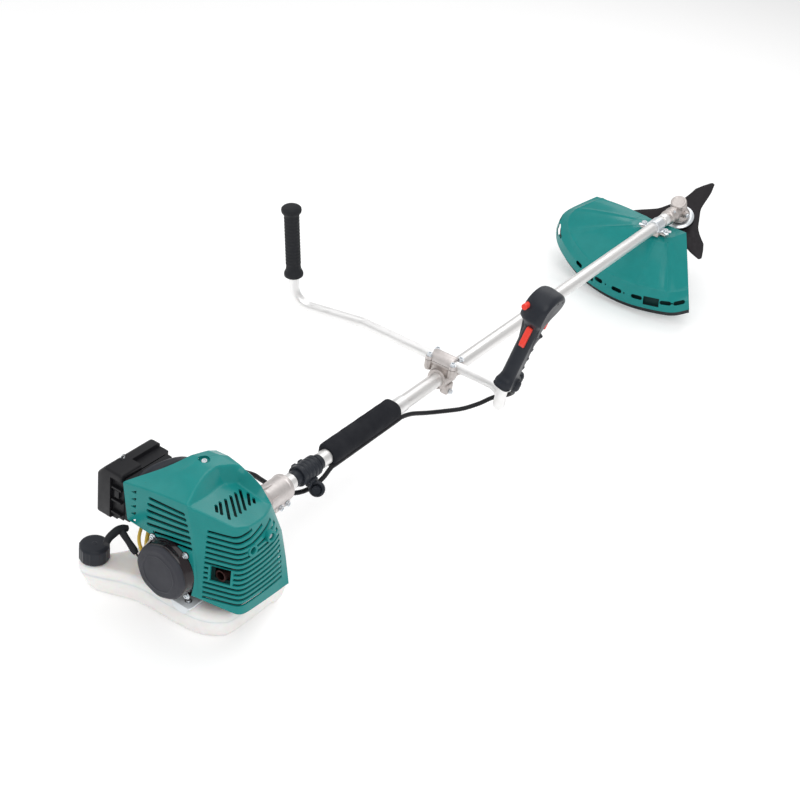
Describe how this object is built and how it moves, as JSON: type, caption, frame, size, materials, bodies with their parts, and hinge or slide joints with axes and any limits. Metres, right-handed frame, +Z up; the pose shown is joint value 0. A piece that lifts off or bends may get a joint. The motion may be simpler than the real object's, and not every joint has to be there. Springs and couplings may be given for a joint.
{
  "type": "brush cutter",
  "caption": "Petrol brush cutter with a two-handled bar, rear engine under a vented cover, straight drive tube, quarter guard and three-tooth blade.",
  "frame": {"origin": "middle of the overall box, on the floor the machine rests on", "axes": "+Y forward from the engine to the blade along the shaft, +X to the operator's right, +Z up"},
  "size_m": [0.5452, 1.8744, 0.3914],
  "materials": {
    "teal_plastic": "satin",
    "black_plastic": "satin",
    "gloss_black_plastic": "gloss",
    "black_rubber": "matt",
    "black_foam": "matt foam",
    "tank_plastic": "translucent",
    "tube_aluminium": "brushed",
    "cast_aluminium": "cast",
    "zinc_steel": "zinc plated",
    "dark_steel": "blackened",
    "red_plastic": "satin",
    "bronze": "plain",
    "clear_rubber": "clear"
  },
  "bodies": {
    "machine": {"engine_cover": "teal_plastic", "guard": "teal_plastic", "throttle_housing_left": "black_plastic", "throttle_housing_right": "black_plastic", "harness_clamp": "black_plastic", "throttle_conduit": "black_plastic", "air_filter_base": "black_plastic", "starter_housing": "gloss_black_plastic", "left_grip": "black_rubber", "guard_flap": "black_rubber", "spark_plug_boot": "black_rubber", "foam_sleeve": "black_foam", "air_filter_element": "black_foam", "fuel_tank": "tank_plastic", "shaft_tube": "tube_aluminium", "handlebar_tube": "tube_aluminium", "shaft_collar": "tube_aluminium", "clutch_housing": "cast_aluminium", "crankcase": "cast_aluminium", "cylinder": "cast_aluminium", "carburettor": "cast_aluminium", "handlebar_clamp_base": "cast_aluminium", "handlebar_clamp_cap": "cast_aluminium", "gear_head": "cast_aluminium", "guard_saddle": "cast_aluminium", "clutch_pinch_screw_1": "zinc_steel", "clutch_pinch_screw_2": "zinc_steel", "clamp_screw_1": "zinc_steel", "clamp_screw_2": "zinc_steel", "clamp_screw_3": "zinc_steel", "clamp_screw_4": "zinc_steel", "shaft_pinch_screw": "zinc_steel", "guard_screw_1": "zinc_steel", "guard_screw_2": "zinc_steel", "guard_clamp": "zinc_steel", "engine_foot": "zinc_steel", "muffler": "zinc_steel", "shaft_liner": "bronze"},
    "blade_drive": {"blade": "dark_steel", "blade_flange": "zinc_steel", "blade_nut": "zinc_steel", "output_shaft": "zinc_steel", "bevel_gear": "zinc_steel"},
    "drive_line": {"drive_shaft": "dark_steel", "clutch_drum": "zinc_steel", "pinion": "zinc_steel"},
    "crank_group": {"crankshaft": "zinc_steel", "flywheel": "cast_aluminium", "clutch_shoe_a": "dark_steel", "clutch_shoe_b": "dark_steel"},
    "pull_handle": {"starter_handle": "black_rubber"},
    "rope_reel": {"starter_reel": "black_plastic"},
    "trigger": {"throttle_trigger": "red_plastic"},
    "lockout": {"lockout_lever": "red_plastic"},
    "stop_switch": {"stop_button": "red_plastic"},
    "filler_cap": {"fuel_cap": "black_plastic"},
    "choke": {"choke_lever": "black_plastic"},
    "primer": {"primer_bulb": "clear_rubber"},
    "cable_cam": {"throttle_cam": "zinc_steel"},
    "filter_lid": {"air_filter_cover": "black_plastic"}
  },
  "joints": [
    {"name": "blade_spin", "type": "hinge", "parent": "machine", "child": "blade_drive", "pos_m": [0.0773, 0.81485, 0.18417], "axis": [0, -0.5366, 0.8439], "continuous": true},
    {"name": "drive_spin", "type": "hinge", "parent": "machine", "child": "drive_line", "pos_m": [0.0773, 0.04456, 0.15121], "axis": [0, 0.9991, 0.0427], "continuous": true},
    {"name": "crank_spin", "type": "hinge", "parent": "machine", "child": "crank_group", "pos_m": [0.0773, -0.80466, 0.11488], "axis": [0, 0.9991, 0.0427], "continuous": true},
    {"name": "starter_pull", "type": "slide", "parent": "machine", "child": "pull_handle", "axis": [-0.765, -0.0275, 0.6434], "range_m": [0, 0.045], "stiffness_N_per_m": 8, "springref_m": -0.01},
    {"name": "reel_turn", "type": "hinge", "parent": "machine", "child": "rope_reel", "pos_m": [0.0773, -0.89958, 0.11082], "axis": [0, 0.9991, 0.0427], "range_deg": [0, 100]},
    {"name": "trigger_squeeze", "type": "hinge", "parent": "machine", "child": "trigger", "pos_m": [0.24757, -0.21155, 0.34432], "axis": [-0.975, -0.0095, 0.2218], "range_deg": [0, 18], "stiffness_Nm_per_rad": 0.25, "springref_deg": -5.73},
    {"name": "lockout_press", "type": "hinge", "parent": "machine", "child": "lockout", "pos_m": [0.24364, -0.23206, 0.32619], "axis": [0.975, 0.0095, -0.2218], "range_deg": [0, 8], "stiffness_Nm_per_rad": 0.12, "springref_deg": -5.73},
    {"name": "stop_press", "type": "slide", "parent": "machine", "child": "stop_switch", "axis": [-0.0033, 0.9996, 0.0281], "range_m": [0, 0.003], "stiffness_N_per_m": 400, "springref_m": -0.001},
    {"name": "cap_turn", "type": "hinge", "parent": "machine", "child": "filler_cap", "pos_m": [-0.0607, -0.89466, 0.06599], "axis": [0, -0.0427, 0.9991], "range_deg": [0, 360]},
    {"name": "choke_turn", "type": "hinge", "parent": "machine", "child": "choke", "pos_m": [0.0013, -0.83099, 0.17581], "axis": [0, 0.9991, 0.0427], "range_deg": [0, 60]},
    {"name": "primer_press", "type": "slide", "parent": "machine", "child": "primer", "axis": [0, -0.0427, 0.9991], "range_m": [0, 0.003], "stiffness_N_per_m": 300, "springref_m": -0.001},
    {"name": "cam_turn", "type": "hinge", "parent": "machine", "child": "cable_cam", "pos_m": [0.0103, -0.81232, 0.20013], "axis": [0, -0.0427, 0.9991], "range_deg": [0, 72]},
    {"name": "filter_lid_off", "type": "slide", "parent": "machine", "child": "filter_lid", "axis": [-1, 0, 0], "range_m": [0, 0.06]}
  ],
  "couplings": [
    {"joint": "drive_spin", "follows": "blade_spin", "ratio": 1.3571},
    {"joint": "reel_turn", "follows": "starter_pull", "rad_per_m": 30.769},
    {"joint": "cam_turn", "follows": "trigger_squeeze", "ratio": 4}
  ]
}
